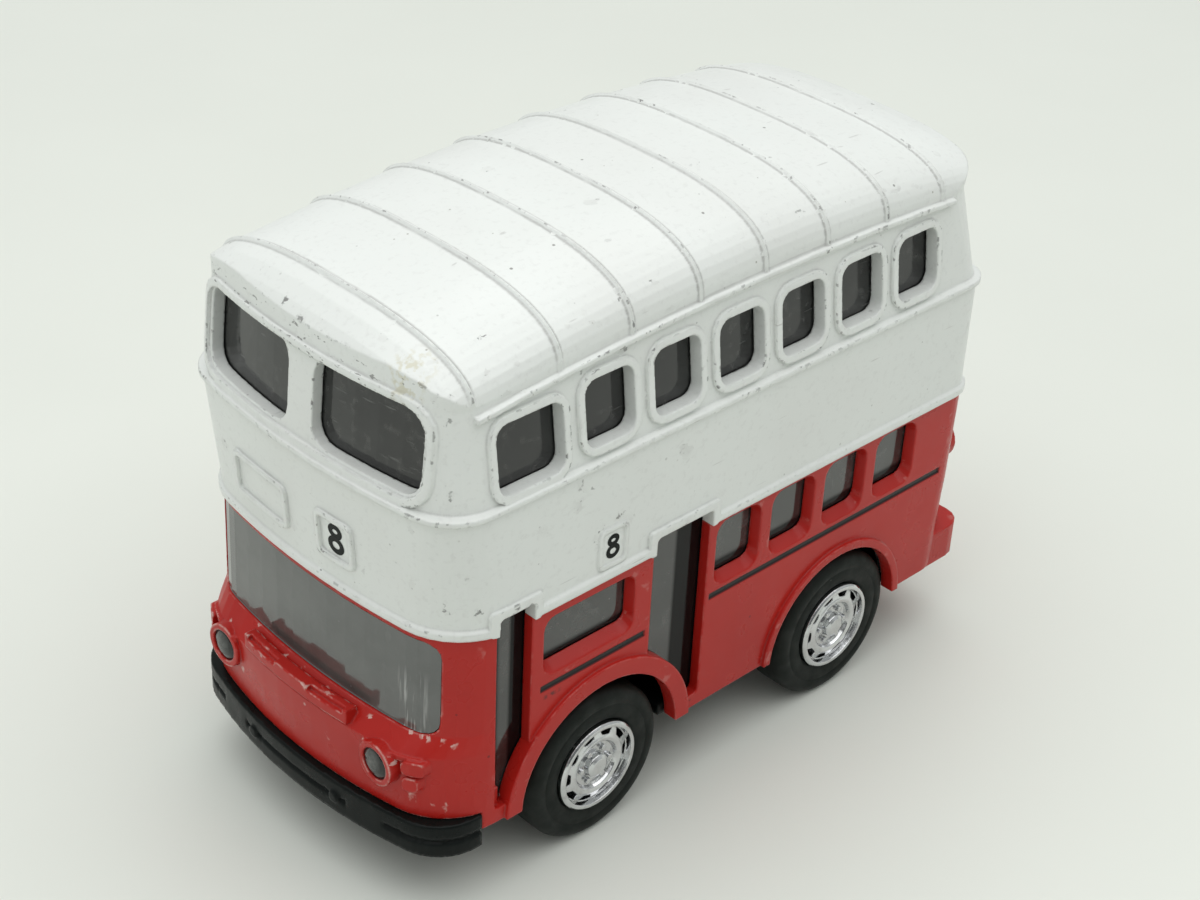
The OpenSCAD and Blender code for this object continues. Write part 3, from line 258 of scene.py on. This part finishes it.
def pane_plastic(name, color, dusty, level, streaks):
    """Dark clear plastic: mostly what it mirrors, with dust and fine scratches."""
    p = Paint(name, color, 0.08, Specular_IOR_Level=level)
    p.cover(p.ramp(p.noise(6.0, 4.0), 0.42, 0.72), dusty)
    scratch = p.ramp(p.noise(0.4, 2.0, streaks), 0.68, 0.78)
    p.cover(p.product(scratch, 0.25), (0.4, 0.41, 0.4))
    p.cover(p.product(p.specks(1.5, 0.09, 0.12), 0.5), (0.35, 0.35, 0.34))
    p.cover(p.ramp(p.noise(1.4, 4.0, shift=0.3), 0.55, 0.75, 0.0, 0.35), (0.12, 0.12, 0.115))
    p.set("Roughness", p.ramp(p.noise(2.5, 4.0), 0.35, 0.75, 0.05, 0.16))
    return p


def grey_plastic():
    """Grey panes, with painted shade in the door jambs and along the sills; the windscreen is painted a
    lighter grey as a painted sheen, and scraped at its left lower corner.
    """
    p = pane_plastic("grey_plastic", (0.022, 0.023, 0.022), (0.05, 0.052, 0.05), 1.0, (1.0, 7.0, 12.0))
    x, y, z = p.axes()
    jambs = [p.band(x, *stretch) for stretch in DOOR_SHADES]
    windows = p.math("MAXIMUM", p.ramp(x, 3.6, 3.4), p.band(x, 15.0, 32.0))
    shades = [p.product(jamb, p.ramp(y, 0.0, 1.0)) for jamb in jambs]
    shades.append(p.product(windows, p.band(z, *SILL_SHADE)))
    # painted shade: the panes are made near black, with their mirror taken off, in the door jambs and along
    # the window sills
    for shade in shades:
        p.cover(p.product(shade, 0.95), (0.004, 0.004, 0.004))
        p.dull(shade)
    front = p.ramp(x, WINDSCREEN_X - 0.02, WINDSCREEN_X + 0.02)
    # painted sheen: the windscreen is painted a lighter grey, patchy by noise, for the light it catches
    p.cover(p.product(front, p.ramp(p.noise(9.0, 4.0), 0.3, 0.7, 0.5, 1.0)), (0.11, 0.115, 0.11))
    scrape = p.product(p.band(y, 15.5, 19.0, 0.8), p.band(z, 24.0, 32.0, 2.0), front)
    lines = p.ramp(p.noise(0.45, 2.0, (1.0, 1.0, 14.0)), 0.54, 0.64)
    p.cover(p.product(scrape, lines, 0.6), (0.5, 0.5, 0.49))
    return p.material


def lens_plastic():
    p = Paint("lens_plastic", (0.012, 0.013, 0.012), 0.1)
    for side in (1, -1):
        # painted highlight: a lighter patch on each lens, a little above its middle
        middle = p.spot((HEADLIGHT[0], side * HEADLIGHT[1] - 0.3, HEADLIGHT[2] + 0.4), 1.0, 0.7)
        p.cover(p.product(middle, p.ramp(p.noise(0.8, 2.0), 0.35, 0.65, 0.4, 1.0)), (0.17, 0.18, 0.17))
    p.bump(p.noise(0.5, 2.0), 0.04, 0.4)
    return p.material


def plain_plastic(name, color, worn, roughness, level=0.3):
    p = Paint(name, color, roughness, Specular_IOR_Level=level)
    p.cover(p.product(p.edges(0.52, 0.6), p.ramp(p.noise(2.0, 4.0), 0.4, 0.7), 0.8), worn)
    p.cover(p.ramp(p.noise(6.0, 3.0), 0.5, 0.8, 0.0, 0.5), worn)
    p.set("Roughness", p.ramp(p.noise(3.0, 3.0), 0.3, 0.7, roughness - 0.08, roughness + 0.1))
    p.bump(p.noise(0.35, 2.0), 0.02, 0.4)
    return p.material


def hub_chrome():
    p = Paint("hub_chrome", (0.66, 0.67, 0.68), 0.14, Metallic=1.0)
    p.cover(p.ramp(p.noise(1.2, 3.0), 0.5, 0.75, 0.0, 0.7), (0.5, 0.5, 0.49))
    # painted shade: the hollows of the hubs are darkened
    p.cover(p.product(p.creases(0.4, 0.48), 0.9), (0.03, 0.032, 0.03))
    p.set("Roughness", p.ramp(p.noise(0.8, 3.0), 0.3, 0.7, 0.1, 0.26))
    return p.material


def tyre_rubber():
    p = Paint("tyre_rubber", (0.008, 0.011, 0.009), 0.6, Specular_IOR_Level=0.2)
    p.cover(p.ramp(p.noise(3.0, 4.0), 0.5, 0.75, 0.0, 0.6), (0.022, 0.026, 0.023))
    p.cover(p.product(p.specks(1.6, 0.12, 0.05), 0.7), (0.16, 0.16, 0.15))
    p.set("Roughness", p.ramp(p.noise(2.0, 3.0), 0.3, 0.7, 0.48, 0.7))
    p.bump(p.noise(0.3, 3.0), 0.03, 0.5)
    return p.material


def steel():
    p = Paint("steel", (0.55, 0.55, 0.57), 0.35, Metallic=1.0)
    p.set("Roughness", p.ramp(p.noise(0.6, 2.0, (1.0, 8.0, 1.0)), 0.3, 0.7, 0.28, 0.44))
    return p.material


MATERIALS = {
    "white_paint": white_paint(),
    "red_paint": red_paint(),
    "smoke_plastic": pane_plastic("smoke_plastic", (0.008, 0.008, 0.008), (0.022, 0.023, 0.022), 0.7,
                                  (9.0, 9.0, 1.0)).material,
    "grey_plastic": grey_plastic(),
    "lens_plastic": lens_plastic(),
    "black_plastic": plain_plastic("black_plastic", (0.005, 0.007, 0.0065), (0.012, 0.015, 0.014), 0.3, 0.12),
    "motor_plastic": plain_plastic("motor_plastic", (0.07, 0.075, 0.08), (0.12, 0.125, 0.13), 0.5),
    "gear_plastic": plain_plastic("gear_plastic", (0.76, 0.73, 0.62), (0.82, 0.8, 0.72), 0.45),
    "hub_chrome": hub_chrome(),
    "tyre_rubber": tyre_rubber(),
    "steel": steel(),
}
SLOT_OF = {part["node"]: part["material_slot"] for part in frame["record"]["subparts"]}
BODY_OF = {node: body for body, nodes in frame["record"]["behaviour"]["bodies"].items() for node in nodes}


# Pieces
def put(mesh, name, body, slot, *nodes):
    """A piece of the object: it rides on a body, takes a slot's finish, and may stand for CAD nodes."""
    piece = bpy.data.objects.new(name, mesh)
    bpy.context.scene.collection.objects.link(piece)
    mesh.materials.clear()
    mesh.materials.append(MATERIALS[slot])
    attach(piece, body)
    if nodes:
        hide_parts(*nodes)
    return piece


def soften(node, name, depth, rounds, keep=1.0):
    """Replaces a CAD node by the same form with the soft edges of casting and paint."""
    mesh = NODES[node].data.copy()
    work = bmesh.new()
    work.from_mesh(mesh)
    bmesh.ops.remove_doubles(work, verts=work.verts, dist=0.002 * MM)
    work.to_mesh(mesh)
    work.free()
    temporary = bpy.data.objects.new("temporary", mesh)
    bpy.context.scene.collection.objects.link(temporary)
    remesh = temporary.modifiers.new("remesh", "REMESH")
    remesh.mode = "SHARP"
    remesh.octree_depth = depth
    remesh.scale = 0.99
    remesh.sharpness = 1.0
    remesh.use_remove_disconnected = False
    remesh.use_smooth_shade = True
    smooth = temporary.modifiers.new("smooth", "SMOOTH")
    smooth.iterations = rounds
    smooth.factor = 0.5
    if keep < 1.0:
        thin = temporary.modifiers.new("thin", "DECIMATE")
        thin.ratio = keep
    shaped = temporary.evaluated_get(bpy.context.evaluated_depsgraph_get())
    result = bpy.data.meshes.new_from_object(shaped)
    result.name = name
    bpy.data.objects.remove(temporary)
    bpy.data.meshes.remove(mesh)
    return put(result, name, BODY_OF[node], SLOT_OF[node], node)


def tube(points, radius, sides=10, closed=False):
    """A round tube along points, in millimetres."""
    work = bmesh.new()
    rings = []
    count = len(points)
    for i, point in enumerate(points):
        if closed:
            before, after = points[i - 1], points[(i + 1) % count]
        else:
            before, after = points[max(i - 1, 0)], points[min(i + 1, count - 1)]
        along = (Vector(after) - Vector(before)).normalized()
        across = along.cross(Vector((0.0, 0.0, 1.0)))
        across = across.normalized() if across.length > 0.01 else along.orthogonal().normalized()
        over = across.cross(along)
        rings.append([work.verts.new((Vector(point) + radius * (
            math.cos(2 * math.pi * k / sides) * across + math.sin(2 * math.pi * k / sides) * over)) * MM)
            for k in range(sides)])
    pairs = list(zip(rings, rings[1:])) + ([(rings[-1], rings[0])] if closed else [])
    for first, second in pairs:
        for k in range(sides):
            work.faces.new((first[k], first[(k + 1) % sides], second[(k + 1) % sides], second[k]))
    if not closed:
        work.faces.new(rings[0][::-1])
        work.faces.new(rings[-1])
    bmesh.ops.recalc_face_normals(work, faces=work.faces)
    return finished(work)


def finished(work):
    mesh = bpy.data.meshes.new("piece")
    work.to_mesh(mesh)
    work.free()
    for face in mesh.polygons:
        face.use_smooth = True
    return mesh


def lathe(profile, at, side, segments=112):
    """A ring turned about the axle's line: profile is distance along the axle and radius, in millimetres."""
    work = bmesh.new()
    rings = []
    for k in range(segments):
        a = 2 * math.pi * k / segments
        rings.append([work.verts.new((
            (at[0] + r * math.cos(a)) * MM, side * d * MM, (at[1] + r * math.sin(a)) * MM))
            for d, r in profile])
    for first, second in zip(rings, rings[1:] + rings[:1]):
        for k in range(len(profile)):
            n = (k + 1) % len(profile)
            work.faces.new((first[k], first[n], second[n], second[k]))
    bmesh.ops.recalc_face_normals(work, faces=work.faces)
    return finished(work)


def wheel_tyres():
    """Tyres with rounded shoulders, a bead at the rim and a fine ridge round each wall."""
    for place, x in (("front", FRONT_AXLE_X), ("rear", REAR_AXLE_X)):
        for side_name, side in (("left", 1), ("right", -1)):
            node = f"tyre_{place}_{side_name}"
            low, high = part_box(node)
            inner = min(abs(low.y), abs(high.y)) / MM
            outer = max(abs(low.y), abs(high.y)) / MM
            top = (high.z - low.z) / 2 / MM
            rim = 6.25
            shoulder = 1.5
            profile = [(inner, rim), (inner, top - shoulder)]
            for step in range(1, 8):
                a = math.pi / 2 * step / 8
                profile.append((inner + shoulder * (1 - math.cos(a)),
                                top - shoulder + shoulder * math.sin(a)))
            profile += [(inner + shoulder, top - 0.03), ((inner + outer) / 2, top),
                        (outer - shoulder, top - 0.03)]
            for step in range(1, 8):
                a = math.pi / 2 * step / 8
                profile.append((outer - shoulder * (1 - math.sin(a)),
                                top - shoulder + shoulder * math.cos(a)))
            profile += [(outer, top - shoulder), (outer - 0.04, top - shoulder - 0.5),
                        (outer - 0.12, top - shoulder - 0.6), (outer - 0.12, top - shoulder - 0.8),
                        (outer - 0.04, top - shoulder - 0.9), (outer - 0.1, rim + 0.7),
                        (outer - 0.25, rim + 0.25), (outer - 0.6, rim)]
            put(lathe(profile, (x, AXLE_Z), side), f"rubber_{place}_{side_name}", BODY_OF[node],
                "tyre_rubber", node)


def figure(name, carrier, middle, height, across, outward):
    """A plain figure of two rings, laid on the face of the carrier that outward points away from."""
    tree = BVHTree.FromObject(carrier, bpy.context.evaluated_depsgraph_get())
    work = bmesh.new()
    for lift, wide, tall, up in ((0.03, 0.27, 0.235, 0.235), (0.04, 0.31, 0.28, -0.2)):
        steps, stroke = 48, 0.17
        loops = []
        for inside in (0.0, stroke):
            loop = []
            for k in range(steps):
                a = 2 * math.pi * k / steps
                at = Vector(middle) + height * ((wide - inside) * math.cos(a) * Vector(across)
                                                + (up + (tall - inside) * math.sin(a)) * Vector((0, 0, 1)))
                hit = tree.ray_cast((at + 4 * Vector(outward)) * MM, -Vector(outward))
                loop.append(work.verts.new(hit[0] + lift * MM * Vector(outward)))
            loops.append(loop)
        for k in range(steps):
            n = (k + 1) % steps
            work.faces.new((loops[0][k], loops[0][n], loops[1][n], loops[1][k]))
    bmesh.ops.recalc_face_normals(work, faces=work.faces)
    put(finished(work), name, "chassis", "black_plastic")


def headlight_rings():
    """Dark rings round the headlight lenses: painted shade for the recess round each lens."""
    for side_name, side in (("left", 1), ("right", -1)):
        ring = [(HEADLIGHT[0], side * HEADLIGHT[1] + HEADLIGHT_R * math.cos(a),
                 HEADLIGHT[2] + HEADLIGHT_R * math.sin(a))
                for a in (2 * math.pi * k / 40 for k in range(40))]
        # painted shade: a black ring stands for the shade in the recess round each lens
        put(tube(ring, 0.28, closed=True), f"headlight_shade_ring_{side_name}", "chassis", "black_plastic")


for node, part in NODES.items():
    part.data.materials.clear()
    part.data.materials.append(MATERIALS[SLOT_OF[node]])

upper_body = soften("upper_casting", "upper_body", *CASTING_EDGES)
soften("lower_casting", "lower_body", *CASTING_EDGES)
soften("base_plate", "base", *BASE_EDGES)
for corner in ("front_left", "front_right", "rear_left", "rear_right"):
    soften(f"hub_{corner}", f"wheel_{corner}", *HUB_EDGES)
wheel_tyres()
headlight_rings()
figure("front_figure", upper_body, *FRONT_FIGURE)
figure("side_figure", upper_body, *SIDE_FIGURE)


# Stage, light and camera
def floor():
    size = 3.0
    mesh = bpy.data.meshes.new("floor")
    corners = [(-size, -size, 0), (size, -size, 0), (size, size, 0), (-size, size, 0)]
    mesh.from_pydata(corners, [], [(0, 1, 2, 3)])
    p = Paint("floor_paper", (0.77, 0.795, 0.74), 0.7)
    p.cover(p.ramp(p.noise(60.0, 3.0), 0.35, 0.7, 0.0, 0.5), (0.74, 0.765, 0.71))
    p.cover(p.product(p.specks(9.0, 0.03, 0.05), 0.5), (0.3, 0.3, 0.28))
    mesh.materials.append(p.material)
    ground = bpy.data.objects.new("floor", mesh)
    bpy.context.scene.collection.objects.link(ground)


def soft_box(name, at, aim, size, power):
    lamp = bpy.data.lights.new(name, "AREA")
    lamp.shape = "RECTANGLE"
    lamp.size, lamp.size_y = size
    lamp.energy = power
    holder = bpy.data.objects.new(name, lamp)
    direction = Vector(at) - Vector(aim)
    holder.location = at
    holder.rotation_euler = direction.to_track_quat("Z", "Y").to_euler()
    bpy.context.scene.collection.objects.link(holder)


def light():
    world = bpy.data.worlds.new("studio")
    bpy.context.scene.world = world
    world.use_nodes = True
    sky = world.node_tree.nodes["Background"]
    sky.inputs["Color"].default_value = (0.97, 1.0, 0.98, 1.0)
    direction = world.node_tree.nodes.new("ShaderNodeTexCoord")
    toward_corner = world.node_tree.nodes.new("ShaderNodeVectorMath")
    toward_corner.operation = "DOT_PRODUCT"
    toward_corner.inputs[1].default_value = (0.7, 0.7, 0.1)
    strength = world.node_tree.nodes.new("ShaderNodeMapRange")
    for socket, value in (("From Min", 0.3), ("From Max", 0.9), ("To Min", 0.54), ("To Max", 0.16)):
        strength.inputs[socket].default_value = value
    world.node_tree.links.new(direction.outputs["Generated"], toward_corner.inputs[0])
    world.node_tree.links.new(toward_corner.outputs["Value"], strength.inputs["Value"])
    world.node_tree.links.new(strength.outputs["Result"], sky.inputs["Strength"])
    soft_box("overhead", (0.0, 0.05, 0.75), (0.0, 0.0, 0.0), (1.2, 1.2), 5.9)
    soft_box("front_fill", (0.55, 0.1, 0.35), (0.0, 0.0, 0.04), (0.4, 0.4), 0.35)


def camera():
    azimuth, elevation, roll = (math.radians(a) for a in (CAMERA_AZIMUTH, CAMERA_ELEVATION, CAMERA_ROLL))
    back = Vector((math.sin(azimuth) * math.cos(elevation), -math.cos(azimuth) * math.cos(elevation),
                   math.sin(elevation)))
    right = (-back).cross(Vector((0.0, 0.0, 1.0))).normalized()
    down = (-back).cross(right)
    turned_right = math.cos(roll) * right + math.sin(roll) * down
    turned_down = math.cos(roll) * down - math.sin(roll) * right
    lens = bpy.data.cameras.new("camera")
    lens.sensor_width = SENSOR
    lens.lens = CAMERA_FOCAL * SENSOR / PHOTO_WIDTH
    lens.clip_start = 0.01
    holder = bpy.data.objects.new("camera", lens)
    turn = Matrix((turned_right, -turned_down, back)).transposed().to_4x4()
    holder.matrix_world = Matrix.Translation(Vector(CAMERA_AT) * MM) @ turn
    bpy.context.scene.collection.objects.link(holder)
    bpy.context.scene.camera = holder


floor()
light()
camera()
bpy.context.scene.view_settings.view_transform = "Standard"
